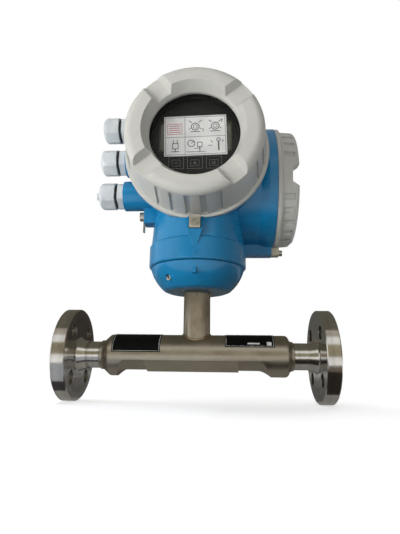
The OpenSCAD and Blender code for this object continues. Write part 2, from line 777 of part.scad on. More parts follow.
board_t = 1.6;
board_w = 76;
board_l = 82;
board_gap = 8;
post_x = board_w / 2 - 5;
post_y = board_l / 2 - 5;
frame_t = 2.5;
floor_z = -electronics_depth;
window_lip = 3;
glass_back = display_cover_h - window_drop - window_lip - glass_t;
module_back = glass_back - module_gap - module_t;
holder_t = 2;
holder_gap = 0.5;
holder_z = module_back - holder_gap - holder_t;
pivot_r = 6;

module board_outline(t, r = 4) linear_extrude(t) plate_shape(board_w, board_l, r);

module at_posts() for (i = [0, 1], j = [0, 1]) mirror([i, 0]) mirror([0, j]) translate([post_x, post_y]) children();

// Plastic frame that carries the boards on four posts
module board_frame() color("gray") at_display() {
  translate([0, 0, floor_z]) difference() {
    board_outline(frame_t);
    translate([0, 0, -cut]) linear_extrude(frame_t + 2 * cut) plate_shape(board_w - 24, board_l - 24, 6);
  }
  translate([0, 0, floor_z + frame_t]) at_posts() cylinder(r = 2.5, h = holder_z - floor_z - frame_t, $fn = 32);
}

module board(level) translate([0, 0, floor_z + frame_t + level]) difference() {
  board_outline(board_t);
  translate([0, 0, -cut]) at_posts() cylinder(r = 2.5, h = board_t + 2 * cut, $fn = 32);
}

module on_board(level) translate([0, 0, floor_z + frame_t + level + board_t]) children();

module block(x, y, w, l, h) translate([x - w / 2, y - l / 2, 0]) cube([w, l, h]);

module power_board() color("green") at_display() {
  board(4);
  on_board(4) {
    block(-18, 22, 22, 20, 6);
    for (x = [4, 16, 28]) translate([x, 24, 0]) cylinder(r = 4.5, h = 6.2, $fn = 32);
    block(12, -14, 30, 12, 4);
  }
}

module amplifier_board() color("green") at_display() {
  board(4 + board_gap);
  on_board(4 + board_gap) {
    block(-10, 10, 16, 16, 2);
    block(18, 14, 12, 12, 2);
    block(0, -24, 44, 8, 5);
  }
}

module output_board() color("green") at_display() {
  board(4 + 2 * board_gap);
  on_board(4 + 2 * board_gap) {
    block(-16, 16, 14, 20, 3);
    for (y = [-20, -6, 8, 22]) block(20, y, 10, 8, 4);
  }
}

// Round plate with the pivot on which the display module is turned
module display_holder() color("dimgray") at_display() translate([0, 0, holder_z]) {
  cylinder(d = module_d - 4, h = holder_t);
  translate([0, 0, holder_t]) cylinder(r = pivot_r, h = 8);
}

// ---- Terminal compartment ----

terminal_plate_x = electronics_r - 6;
terminal_plate_t = 3;

module terminal_plate() color("gainsboro") at_neck() translate([terminal_plate_x, bulkhead_y, terminal_z - 34])
  cube([terminal_plate_t, 46, 68]);

module terminal_block(z, n) translate([terminal_plate_x + terminal_plate_t, bulkhead_y + 12, z]) difference() {
  cube([14, 20, n * 8]);
  for (i = [0:n - 1]) translate([8, 10, 4 + 8 * i]) {
    to_plus_x() cylinder(r = 2.6, h = 10, $fn = 24);
    translate([-1, 0, 0]) rotate([-90, 0, 0]) cylinder(r = 2, h = 12, $fn = 24);
  }
}

module terminal_blocks() color("darkgreen") at_neck() {
  terminal_block(terminal_z - 30, 2);
  terminal_block(terminal_z - 10, 4);
}

// ---- Clamps and ground terminal ----

head_h = 4;
shank_r = 2;
shank_l = 9;
ground_screw_r = 3;
ground_screw_l = 10;

function clamp_screw_y(r, h) = -r - clamp_gap - h / 2 - 1;

module clamp_screw_hole(r, h) translate([0, clamp_screw_y(r, h), clamp_base - shank_l])
  cylinder(r = shank_r, h = shank_l + cut, $fn = 32);

// Metal block under a rim of radius r, held by a socket screw
module clamp_block(r, h, t) difference() {
  translate([-clamp_w / 2, -r - clamp_gap - h, clamp_base]) cube([clamp_w, h, t]);
  translate([0, clamp_screw_y(r, h), clamp_base - cut]) cylinder(r = shank_r, h = t + 2 * cut, $fn = 32);
}

module clamp_screw(r, h, t) translate([0, clamp_screw_y(r, h), clamp_base]) {
  translate([0, 0, t]) difference() {
    cylinder(d = clamp_head_d, h = head_h, $fn = 48);
    translate([0, 0, 1.5]) hexagon(clamp_head_d / 2, head_h);
  }
  translate([0, 0, -shank_l]) cylinder(r = shank_r, h = t + shank_l, $fn = 32);
}

module display_clamp() color("silver") at_display() clamp_block(rim_r, display_clamp_h, display_clamp_t);

module terminal_clamp() color("silver") at_terminal() clamp_block(terminal_rim_r, terminal_clamp_h, terminal_clamp_t);

module clamp_screws() color("gray") {
  at_display() clamp_screw(rim_r, display_clamp_h, display_clamp_t);
  at_terminal() clamp_screw(terminal_rim_r, terminal_clamp_h, terminal_clamp_t);
}

module to_ground() translate([-ground_face, ground_y, ground_z]) to_minus_x() children();

module ground_screw() color("silver") at_neck() to_ground() {
  translate([0, 0, lug_t]) difference() {
    cylinder(r = 5, h = head_h, $fn = 48);
    translate([-6, -0.8, head_h - 1.5]) cube([12, 1.6, 3]);
  }
  translate([0, 0, -ground_screw_l]) cylinder(r = ground_screw_r, h = ground_screw_l + lug_t, $fn = 32);
}

// Washer with a tail that points down
module ground_lug() color("dimgray") at_neck() to_ground() difference() {
  union() {
    cylinder(r = lug_r, h = lug_t);
    translate([-18, -2.5, 0]) cube([18, 5, lug_t]);
  }
  translate([0, 0, -cut]) cylinder(r = ground_screw_r, h = lug_t + 2 * cut, $fn = 32);
}

// ---- Cable glands ----

gland_neck_r = cap_d / 2 - 3.6;
gland_neck_l = 12;
gland_ring_t = 3;
gland_ring_r = gland_af / 2 - 0.6;
gland_bore_r = 7;
gland_shank_l = 10;

module gland_body() difference() {
  union() {
    translate([0, 0, -gland_shank_l]) cylinder(d = gland_thread_d, h = gland_shank_l + cut);
    intersection() {
      hexagon(gland_af, gland_hex_h);
      cylinder(d = gland_af / cos(30) - 1, h = gland_hex_h);
    }
    cylinder(r = gland_neck_r, h = gland_hex_h + gland_ring_t + gland_neck_l);
  }
  translate([0, 0, -gland_shank_l - cut]) cylinder(r = gland_bore_r, h = 3 * gland_hex_h + gland_shank_l + gland_neck_l);
}

module gland_bodies() color("lightgray") for (i = [1:3]) at_gland(i) gland_body();

module gland_inserts() color("black") for (i = [1:3]) at_gland(i) translate([0, 0, gland_hex_h])
  ring(gland_bore_r, cable_d / 2, gland_ring_t + gland_neck_l);

module gland_ring(i) color("black") at_gland(i) translate([0, 0, gland_hex_h + run_gap])
  ring(gland_ring_r, gland_neck_r + free_gap, gland_ring_t - 2 * run_gap);

// Cap with six shallow flats and a rounded end
module gland_cap(i) color("lightgray") at_gland(i) translate([0, 0, gland_hex_h + gland_ring_t]) difference() {
  intersection() {
    rotate_extrude() difference() {
      square([cap_d / 2, cap_l]);
      translate([cap_d / 2, cap_l]) round_off(6);
    }
    hexagon(cap_d - 2.2, cap_l);
  }
  translate([0, 0, -cut]) cylinder(r = gland_neck_r + free_gap, h = gland_neck_l + free_gap + cut);
  cylinder(d = cap_bore_d, h = cap_l + cut);
}

module gland_plug() color("gainsboro") at_gland(3) translate([0, 0, gland_hex_h + 6])
  cylinder(r = cable_d / 2, h = gland_ring_t + cap_l - 2);

// ---- Screw covers ----

window_r2 = window_d / 2;
skirt_r = skirt_d / 2;
crown_out_r = crown_d / 2;
inside_r = thread_r - 6;
seat_r = window_r2 + 4;
seat_ring_t = 3;

module notch_cutters(h, turn) for (i = [0:3]) rotate(turn + 90 * i) translate([window_r2 - 6, 0, h - notch_h])
  rotate([90, 0, 90]) linear_extrude(rim_r) polygon([[-notch_w / 2 + 4, 0], [notch_w / 2 - 4, 0],
    [notch_w / 2 + 1, notch_h + cut], [-notch_w / 2 - 1, notch_h + cut]]);

groove_step = 12.5;

// Grip grooves between the recesses
module groove_cutters(h, turn, low_r, high_r, edge) for (i = [0:3], j = [0:groove_count - 1])
  rotate(turn + 45 + 90 * i + (j - (groove_count - 1) / 2) * groove_step) {
    lean = atan((low_r - high_r) / (h - edge - rim_t));
    translate([low_r - groove_h, -groove_w / 2, rim_t + 2]) rotate([0, -lean, 0])
      cube([3 * groove_h + 4, groove_w, h - rim_t - 2 - edge]);
  }

// Half profile of a cover; dr makes its outside smaller
module cover_outline(h, dr, skirt_end_r, edge) {
  seal_r = (dr > 0 ? mouth_r : display_r) - 1 + free_gap;
  difference() {
    union() {
      polygon([[0, free_gap], [skirt_r - dr, free_gap], [skirt_r - dr, rim_t], [skirt_end_r, h - edge],
        [skirt_end_r, h], [0, h]]);
      translate([0, free_gap]) square([rim_r - dr, rim_t - free_gap]);
      translate([0, -thread_l]) square([thread_r - dr, thread_l + rim_t]);
    }
    translate([skirt_end_r, h]) round_off(edge);
    translate([rim_r - dr, rim_t]) round_off(1.5);
    // Groove of the flat seal
    translate([thread_r - dr, 0]) square([seal_r - thread_r + dr, seal_t + 2 * run_gap]);
  }
}

module display_cover() color("gainsboro") at_display() difference() {
  rotate_extrude() difference() {
    cover_outline(display_cover_h, 0, crown_out_r, crown_r);
    // Window opening with its sloping wall
    polygon([[0, display_cover_h - window_drop], [window_r2, display_cover_h - window_drop],
      [crest_d / 2, display_cover_h], [crest_d / 2, display_cover_h + cut], [0, display_cover_h + cut]]);
    square([window_r2, display_cover_h]);
    // Seat of the glass and the room behind it
    square([seat_r, glass_back + glass_t]);
    translate([0, -thread_l - cut]) square([inside_r, thread_l + cut + glass_back - seat_ring_t - 1]);
  }
  notch_cutters(display_cover_h, display_notch_turn);
  groove_cutters(display_cover_h, display_notch_turn, skirt_r, crown_out_r, crown_r);
}

module window_glass() color("lightblue", 0.4) at_display() translate([0, 0, glass_back])
  cylinder(r = seat_r, h = glass_t);

module window_ring() color("gray") at_display() translate([0, 0, glass_back - seat_ring_t])
  ring(seat_r, window_r2 - 1, seat_ring_t);

module display_cover_seal() color("black") at_display() translate([0, 0, run_gap])
  ring(display_r - 1, thread_r + free_gap, seal_t);

module terminal_cover_seal() color("black") at_terminal() translate([0, 0, run_gap])
  ring(mouth_r - 1, terminal_thread_r + free_gap, seal_t);

plate_drop = 9;
terminal_crown_out_r = skirt_r - smaller - 1;

module terminal_cover() color("gainsboro") at_terminal() difference() {
  rotate_extrude() difference() {
    cover_outline(terminal_cover_h, smaller, terminal_crown_out_r, terminal_crown_r);
    polygon([[0, terminal_cover_h - plate_drop], [window_r2, terminal_cover_h - plate_drop],
      [crest_d / 2, terminal_cover_h], [crest_d / 2, terminal_cover_h + cut], [0, terminal_cover_h + cut]]);
    translate([0, -thread_l - cut]) square([inside_r - smaller, thread_l + cut + terminal_cover_h - plate_drop - wall]);
  }
  notch_cutters(terminal_cover_h, terminal_notch_turn);
  groove_cutters(terminal_cover_h, terminal_notch_turn, skirt_r - smaller, terminal_crown_out_r, terminal_crown_r);
}

// ---- Display module ----

bezel_t = 2;
face_z = module_back + module_t;

module display_module() color("darkslategray") at_display() translate([0, 0, module_back]) difference() {
  cylinder(d = module_d, h = module_t);
  translate([0, 0, -cut]) cylinder(r = pivot_r + run_gap, h = 8 + cut);
  translate([0, screen_up, module_t - bezel_t]) linear_extrude(bezel_t + cut) plate_shape(screen_w, screen_h, 2);
  for (i = [-1:1]) translate([i * key_pitch, -26, module_t - 1]) linear_extrude(1 + cut) plate_shape(key_w, 12, 1.5);
}

module screen() color("olive") at_display() translate([0, screen_up, face_z - bezel_t]) linear_extrude(1.2)
  plate_shape(screen_w, screen_h, 2);

module touch_keys() color("black") at_display() for (i = [-1:1]) translate([i * key_pitch, -26, face_z - 1])
  linear_extrude(1) plate_shape(key_w, 12, 1.5);

card_w = 64;
card_h = 45;
card_turn = 1.6;
card_up = 4;
screen_up = 3;
card_t = 0.4;

module display_card() color("white") at_display() translate([0, card_up, face_z]) rotate(card_turn) linear_extrude(card_t)
  plate_shape(card_w, card_h, 1);

inlet_flange();
outlet_flange();
sensor_body();
saddle_cover();
measuring_tube();
balance_tube();
coupling_rings();
drive_coil();
drive_magnet();
pickup_coils();
pickup_magnets();
temperature_sensors();
sensor_harness();
inlet_plate();
outlet_plate();
neck_tube();
neck_flange();
neck_screws();
feedthrough();
adapter_cone();
set_screws();
transmitter_housing();
base_seal();
sensor_cable();
board_frame();
power_board();
amplifier_board();
output_board();
display_holder();
terminal_plate();
terminal_blocks();
display_clamp();
terminal_clamp();
clamp_screws();
ground_screw();
ground_lug();
gland_bodies();
gland_inserts();
display_cover_seal();
display_cover();
window_glass();
window_ring();
terminal_cover_seal();
terminal_cover();
display_module();
screen();
touch_keys();
display_card();
gland_ring(1);  // gland_ring_1
gland_ring(2);  // gland_ring_2
gland_ring(3);  // gland_ring_3
gland_cap(1);  // gland_cap_1
gland_cap(2);  // gland_cap_2
gland_cap(3);  // gland_cap_3
gland_plug();
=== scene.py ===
"""Looks of the flanged flow meter: a finish for every solid of the model, and the small pieces it leaves out."""
import json
import math

import bmesh
import bpy
from mathutils import Matrix, Vector


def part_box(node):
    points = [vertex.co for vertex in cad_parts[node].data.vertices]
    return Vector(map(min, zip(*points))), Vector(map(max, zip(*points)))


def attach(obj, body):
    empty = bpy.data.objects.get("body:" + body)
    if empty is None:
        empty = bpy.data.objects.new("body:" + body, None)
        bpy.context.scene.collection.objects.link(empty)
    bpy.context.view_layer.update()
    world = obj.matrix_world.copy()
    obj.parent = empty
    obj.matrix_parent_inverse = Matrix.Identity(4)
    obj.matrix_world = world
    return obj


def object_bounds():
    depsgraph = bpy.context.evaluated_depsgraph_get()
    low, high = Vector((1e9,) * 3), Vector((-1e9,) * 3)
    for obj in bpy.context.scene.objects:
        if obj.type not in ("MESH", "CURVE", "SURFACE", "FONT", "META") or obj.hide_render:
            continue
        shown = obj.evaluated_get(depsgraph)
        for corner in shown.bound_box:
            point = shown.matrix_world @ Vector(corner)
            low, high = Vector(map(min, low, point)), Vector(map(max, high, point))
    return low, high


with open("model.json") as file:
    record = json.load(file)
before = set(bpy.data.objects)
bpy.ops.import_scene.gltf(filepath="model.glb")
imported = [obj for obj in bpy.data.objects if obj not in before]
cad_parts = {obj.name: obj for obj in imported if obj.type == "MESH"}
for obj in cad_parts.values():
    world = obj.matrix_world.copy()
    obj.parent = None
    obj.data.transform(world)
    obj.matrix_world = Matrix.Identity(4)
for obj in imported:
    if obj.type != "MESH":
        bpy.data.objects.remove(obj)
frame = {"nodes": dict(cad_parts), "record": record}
cad_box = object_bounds()
nodes = frame["nodes"]
MM = 0.001


def box(node):
    """Lowest corner, highest corner and middle of a node."""
    low, high = (Vector(corner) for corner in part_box(node))
    return low, high, (low + high) / 2


# ---- Camera ----

def set_camera():
    """Made for a frame with its long side upright: eye just below the pipe, looking up at the window."""
    eye = (0.1681, -0.4412, -0.0109)
    yaw, pitch, roll = (math.radians(a) for a in (3.24, 13.61, -0.71))
    turn = Matrix.Rotation(yaw, 3, "Z") @ Matrix.Rotation(pitch, 3, "X") @ Matrix.Rotation(roll, 3, "Y")
    axes = Matrix((turn.col[0], turn.col[2], -turn.col[1])).transposed()
    camera = bpy.data.objects.new("camera", bpy.data.cameras.new("camera"))
    bpy.context.collection.objects.link(camera)
    camera.data.sensor_fit = "AUTO"
    camera.data.sensor_width = 36
    camera.data.lens = 27.63
    camera.data.clip_start = 0.01
    camera.matrix_world = Matrix.Translation(eye) @ axes.to_4x4()
    bpy.context.scene.camera = camera


set_camera()
bpy.context.scene.view_settings.view_transform = "Standard"

# ---- Node trees ----


class Nodes:
    """A node tree, and the steps that several of the trees below share."""

    def __init__(self, tree):
        self.tree = tree
        self.inputs = {}

    def set(self, node, socket, value):
        """Socket given a value, or joined to another socket or to one of the tree's named inputs."""
        target = node.inputs[socket]
        if isinstance(value, str):
            value = self.inputs[value]
        if isinstance(value, bpy.types.NodeSocket):
            self.tree.links.new(value, target)
        elif hasattr(target.default_value, "__len__"):
            target.default_value = (*value, 1)[:len(target.default_value)]
        else:
            target.default_value = value

    def add(self, kind, settings=None, **sockets):
        node = self.tree.nodes.new(kind)
        for key, value in (settings or {}).items():
            setattr(node, key, value)
        for socket, value in sockets.items():
            self.set(node, socket.replace("_", " "), value)
        return node

    def math(self, operation, a, b=0.0):
        node = self.add("ShaderNodeMath", {"operation": operation})
        self.set(node, 0, a)
        self.set(node, 1, b)
        return node.outputs[0]

    def glow(self, kind, strength, colour=(1, 1, 1)):
        return self.add(kind, None, Color=colour, Strength=strength).outputs[0]

    def mix_shaders(self, amount, first, second):
        node = self.add("ShaderNodeMixShader")
        for socket, value in enumerate((amount, first, second)):
            self.set(node, socket, value)
        return node.outputs[0]

    def mix_by_ray(self, seen, unseen):
        """Shader for what the eye meets, also mirrored or through glass, and another for the light sent on."""
        rays = self.add("ShaderNodeLightPath").outputs
        direct = self.math("MAXIMUM", rays["Is Camera Ray"], rays["Is Glossy Ray"])
        return self.mix_shaders(self.math("MAXIMUM", direct, rays["Is Transmission Ray"]), unseen, seen)


class Finish(Nodes):
    """A material, and the textures that the finishes below are made of."""

    def __init__(self, name, **sockets):
        self.material = bpy.data.materials.new(name)
        self.material.use_nodes = True
        super().__init__(self.material.node_tree)
        self.shader = self.tree.nodes["Principled BSDF"]
        for socket, value in sockets.items():
            self.set(self.shader, socket.replace("_", " "), value)

    def place(self, centre=(0, 0, 0)):
        """Object coordinates about a centre, in metres."""
        coords = self.add("ShaderNodeTexCoord").outputs["Object"]
        return self.add("ShaderNodeMapping", {"vector_type": "TEXTURE"}, Vector=coords, Location=centre).outputs[0]

    def stretch(self, vector, scale):
        return self.add("ShaderNodeMapping", None, Vector=vector, Scale=scale).outputs[0]

    def weigh(self, *pairs):
        """Sum of numbers, each times its weight."""
        total = None
        for value, weight in pairs:
            part = self.math("MULTIPLY", value, weight)
            total = part if total is None else self.math("ADD", total, part)
        return total

    def split(self, vector):
        return self.add("ShaderNodeSeparateXYZ", None, Vector=vector).outputs

    def around_x(self, vector):
        """Distance from the pipe's axis and place along it, for lines left by turning."""
        x, y, z = self.split(vector)
        radius = self.math("SQRT", self.math("ADD", self.math("MULTIPLY", y, y), self.math("MULTIPLY", z, z)))
        return self.add("ShaderNodeCombineXYZ", None, X=radius, Y=x).outputs[0]

    def noise(self, vector, scale, detail=2.0, roughness=0.5):
        return self.add("ShaderNodeTexNoise", None, Vector=vector, Scale=scale, Detail=detail,
                        Roughness=roughness).outputs["Fac"]

    def ramp(self, value, low, high, start=0.3, end=0.7):
        """Number between low and high as value goes from start to end."""
        return self.add("ShaderNodeMapRange", {"interpolation_type": "SMOOTHSTEP"}, Value=value, From_Min=start,
                        From_Max=end, To_Min=low, To_Max=high).outputs[0]

    def mix(self, amount, first, second):
        """Colour between two others."""
        # The node has sockets for numbers and vectors too, under the same names
        node = self.add("ShaderNodeMix", {"data_type": "RGBA"})
        for socket, value in ((0, amount), (6, first), (7, second)):
            self.set(node, socket, value)
        return node.outputs[2]

    def soft_edges(self, radius):
        """Normal with the edges of a casting rounded off."""
        return self.add("ShaderNodeBevel", {"samples": 4}, Radius=radius).outputs[0]

    def bump(self, height, distance, strength=1.0, normal=None):
        node = self.add("ShaderNodeBump", None, Height=height, Distance=distance, Strength=strength)
        if normal is not None:
            self.set(node, "Normal", normal)
        return node.outputs[0]

    def use(self, colour=None, roughness=None, normal=None):
        for socket, value in (("Base Color", colour), ("Roughness", roughness), ("Normal", normal)):
            if value is not None:
                self.set(self.shader, socket, value)
        return self.material

    def show(self, shader):
        """Material made of this shader and not of the first one."""
        self.set(self.tree.nodes["Material Output"], "Surface", shader)
        return self.material


def shade(colour, factor):
    """Colour made darker or lighter."""
    return tuple(min(1.0, c * factor) for c in colour)


# ---- Finishes ----

def turned_steel(name, colour, roughness=0.15, lines=1600):
    """Steel off the lathe: fine rings round the pipe's axis, with a soft play of tone from ring to ring."""
    f = Finish(name, Metallic=1.0)
    place = f.place()
    rings = f.around_x(place)
    fine = f.noise(rings, lines, 2)
    broad = f.noise(rings, lines / 8, 2)
    grain = f.noise(place, 90, 3)
    tone = f.weigh((broad, 0.7), (grain, 0.3))
    colour = f.mix(f.ramp(tone, 0, 1), shade(colour, 0.86), shade(colour, 1.08))
    rough = f.math("ADD", f.ramp(fine, roughness - 0.03, roughness + 0.04), f.ramp(grain, -0.01, 0.02))
    return f.use(colour, rough, f.bump(fine, 0.01 * MM, 0.15, f.soft_edges(0.8 * MM)))


def satin_steel(name, colour, stretch=(1, 8, 8), roughness=0.34, metallic=1.0):
    """Drawn and blasted steel: fine streaks along the tube and a dull grain."""
    f = Finish(name, Metallic=metallic)
    place = f.place()
    streaks = f.noise(f.stretch(place, stretch), 300, 3)
    grain = f.noise(place, 2500, 2)
    cloud = f.noise(place, 45, 3)
    tone = f.weigh((streaks, 0.45), (cloud, 0.55))
    colour = f.mix(f.ramp(tone, 0, 1, 0.35, 0.65), shade(colour, 0.86), shade(colour, 1.08))
    rough = f.math("ADD", f.ramp(cloud, roughness - 0.04, roughness + 0.06), f.ramp(streaks, -0.02, 0.03))
    return f.use(colour, rough, f.bump(f.weigh((grain, 0.4), (streaks, 0.6)), 0.02 * MM, 0.1))


def powder_coat(name, colour, roughness, gloss=0.15):
    """Baked powder paint on a casting: faint orange peel and dust, slight waves of the casting below, soft edges."""
    f = Finish(name, Coat_Weight=gloss, Coat_Roughness=0.12, Specular_IOR_Level=0.4)
    place = f.place()
    peel = f.noise(place, 1100, 2)
    wave = f.noise(place, 60, 2)
    dust = f.noise(place, 420, 4, 0.65)
    paint = f.mix(f.ramp(wave, 0, 1), shade(colour, 0.97), shade(colour, 1.03))
    paint = f.mix(f.ramp(dust, 0.0, 0.015, 0.62, 0.75), paint, (0.62, 0.62, 0.60))
    rough = f.math("ADD", f.ramp(peel, roughness - 0.03, roughness + 0.05), f.ramp(wave, -0.02, 0.03))
    casting = f.bump(wave, 0.2 * MM, 0.1, f.soft_edges(1.0 * MM))
    return f.use(paint, rough, f.bump(peel, 0.05 * MM, 0.25, casting))


def moulded(name, colour, roughness, grain=900, depth=0.04 * MM, edge=0.0, gloss=0.5):
    """Moulded plastic with a fine spark-eroded grain."""
    f = Finish(name, Specular_IOR_Level=gloss)
    place = f.place()
    fine = f.noise(place, grain, 2)
    cloud = f.noise(place, 70, 2)
    tone = f.mix(f.ramp(cloud, 0, 1), shade(colour, 0.92), shade(colour, 1.06))
    under = f.soft_edges(edge) if edge else None
    return f.use(tone, f.ramp(fine, roughness - 0.05, roughness + 0.06), f.bump(fine, depth, 0.4, under))


def winding(name, colour):
    """Enamelled wire wound round an upright coil."""
    f = Finish(name, Metallic=0.7, Coat_Weight=0.6)
    wire = 0.4 * MM
    height = f.split(f.place())[2]
    turns = f.math("SINE", f.math("MULTIPLY", height, 2 * math.pi / wire))
    # Colour darker in the grooves between the turns and lighter on their crowns: painted shade and painted highlight
    tone = f.mix(f.ramp(turns, 0, 1, -1, 1), shade(colour, 0.45), shade(colour, 1.1))
    return f.use(tone, f.ramp(turns, 0.45, 0.25, -1, 1), f.bump(turns, 0.1 * MM))


def circuit_board(name, colour):
    """Green board with copper tracks under the lacquer."""
    f = Finish(name, Coat_Weight=0.5, Coat_Roughness=0.2)
    place = f.place()
    cells = f.add("ShaderNodeTexVoronoi", {"distance": "MANHATTAN", "feature": "DISTANCE_TO_EDGE"}, Vector=place,
                  Scale=260.0).outputs["Distance"]
    tone = f.mix(f.ramp(cells, 1, 0, 0.04, 0.1), colour, shade(colour, 1.9))
    return f.use(tone, f.ramp(f.noise(place, 700), 0.3, 0.45), f.bump(cells, 0.03 * MM))


def window_pane(name):
    """Clear toughened glass with a few faint wipe marks."""
    f = Finish(name, Alpha=0.06, IOR=1.5)
    wipe = f.noise(f.stretch(f.place(), (1, 1, 5)), 40, 3)
    tone = f.mix(f.ramp(wipe, 0, 1), (0.012, 0.015, 0.015), (0.03, 0.035, 0.035))
    return f.use(tone, f.ramp(wipe, 0.03, 0.09), f.bump(wipe, 0.01 * MM, 0.1))


def screen_glass(name):
    """Grey-olive liquid crystal in fine rows of dots, behind a glossy pane."""
    f = Finish(name, Coat_Weight=0.8, Coat_Roughness=0.05)
    pitch = 0.6 * MM
    place = f.place()
    x, _, z = f.split(place)
    columns, rows = (f.math("SINE", f.math("MULTIPLY", a, 2 * math.pi / pitch)) for a in (x, z))
    dots = f.math("MULTIPLY", columns, rows)
    cloud = f.noise(place, 60, 2)
    tone = f.mix(f.ramp(cloud, 0, 1), (0.050, 0.052, 0.026), (0.070, 0.072, 0.036))
    tone = f.mix(f.ramp(dots, 0, 0.25, 0.2, 0.9), tone, (0.035, 0.037, 0.02))
    return f.use(tone, f.ramp(cloud, 0.2, 0.3), f.bump(dots, 0.01 * MM, 0.2))


def plate_film(name):
    """Black anodised plate with brushed grain."""
    f = Finish(name, Specular_IOR_Level=0.05)
    grain = f.noise(f.stretch(f.place(), (1, 12, 12)), 400, 3)
    tone = f.mix(f.ramp(grain, 0, 1), (0.002, 0.002, 0.002), (0.006, 0.006, 0.0055))
    return f.use(tone, f.ramp(grain, 0.38, 0.5), f.bump(grain, 0.02 * MM, 0.3))


def weld_metal(name, colour):
    """Weld metal with straw and violet heat tints."""
    f = Finish(name, Metallic=1.0)
    straw, violet = (0.468, 0.36, 0.234), (0.30, 0.24, 0.30)
    place = f.place()
    heat = f.noise(place, 120, 2)
    tint = f.mix(f.ramp(heat, 0, 1, 0.35, 0.5), colour, straw)
    tint = f.mix(f.ramp(heat, 0, 0.6, 0.52, 0.66), tint, violet)
    return f.use(tint, f.ramp(f.noise(place, 800), 0.26, 0.4), f.bump(f.noise(place, 1800), 0.04 * MM, 0.4))


finish = {
    "flange_steel": turned_steel("turned flange steel", (0.60, 0.58, 0.54)),
    "body_steel": satin_steel("satin body steel", (0.42, 0.38, 0.31)),
    "tube_steel": turned_steel("drawn tube steel", (0.62, 0.61, 0.60), 0.18, lines=700),
    "screw_steel": satin_steel("screw steel", (0.52, 0.50, 0.46), (1, 1, 1), 0.3),
    "clamp_steel": satin_steel("cast clamp steel", (0.52, 0.49, 0.42), (1, 1, 1), 0.4, metallic=0.55),
    "copper_coil": winding("wound copper", (0.60, 0.26, 0.12)),
    "magnet": satin_steel("nickelled magnet", (0.45, 0.45, 0.46), (1, 1, 1), 0.2),
    "name_plate": plate_film("black name plate"),
    "blue_paint": powder_coat("blue powder coat", (0.003, 0.195, 0.42), 0.26, gloss=0.3),
    "grey_paint": powder_coat("pale grey powder coat", (0.54, 0.54, 0.505), 0.36),
    "seal_rubber": moulded("black seal rubber", (0.018, 0.018, 0.018), 0.6, grain=1500),
    "wire": moulded("red wire sheath", (0.35, 0.03, 0.02), 0.4),
    "cable_sheath": moulded("grey cable sheath", (0.06, 0.06, 0.062), 0.5),
    "board": circuit_board("green circuit board", (0.012, 0.10, 0.035)),
    "black_plastic": moulded("black display plastic", (0.012, 0.0115, 0.010), 0.42, gloss=0.25),
    "terminal_plastic": moulded("green terminal plastic", (0.03, 0.20, 0.06), 0.45),
    "zinc_plate": satin_steel("passivated sheet", (0.60, 0.60, 0.60), (4, 4, 1), 0.3),
    "glass_seal": moulded("fired glass seal", (0.40, 0.26, 0.08), 0.15),
    "window": window_pane("window pane"),
    "screen": screen_glass("screen"),
    "card": moulded("printed card", (0.86, 0.87, 0.85), 0.5),
    "gland_plastic": moulded("light grey polyamide", (0.56, 0.60, 0.62), 0.4, grain=700, depth=0.06 * MM,
                             edge=0.8 * MM),
}
# Saddle cover: the body steel's colour at about half its brightness, painted shade
shaded_cover_steel = satin_steel("brushed cover steel", (0.22, 0.20, 0.163), (1, 8, 8), 0.36)
# Neck tube: the body steel's colour made about a tenth lighter, painted light standing in for its highlight
lit_neck_steel = satin_steel("ground neck steel", (0.47, 0.42, 0.34), (2, 2, 0.5), 0.32)
window_seat = moulded("black window seat", (0.014, 0.014, 0.013), 0.4, gloss=0.3)
weld = weld_metal("weld metal", (0.50, 0.47, 0.42))
ink = {
    "grey": moulded("grey print", (0.05, 0.052, 0.055), 0.5),
    "red": moulded("red print", (0.50, 0.06, 0.06), 0.5),
    "pale": moulded("pale print", (0.60, 0.61, 0.58), 0.5),
    "dim": moulded("dim key print", (0.16, 0.16, 0.15), 0.4),
    "olive": moulded("olive frame print", (0.085, 0.085, 0.048), 0.4),
}

own_finish = {"window_ring": window_seat, "saddle_cover": shaded_cover_steel, "neck_tube": lit_neck_steel}
slots = {part["node"]: part["material_slot"] for part in frame["record"]["subparts"]}
for node, piece in nodes.items():
    piece.data.materials.clear()
    piece.data.materials.append(own_finish.get(node, finish[slots[node]]))

# ---- Small pieces ----


def add_piece(name, mesh, material, body):
    mesh.materials.clear()
    mesh.materials.append(material)
    piece = bpy.data.objects.new(name, mesh)
    bpy.context.collection.objects.link(piece)
    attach(piece, body)


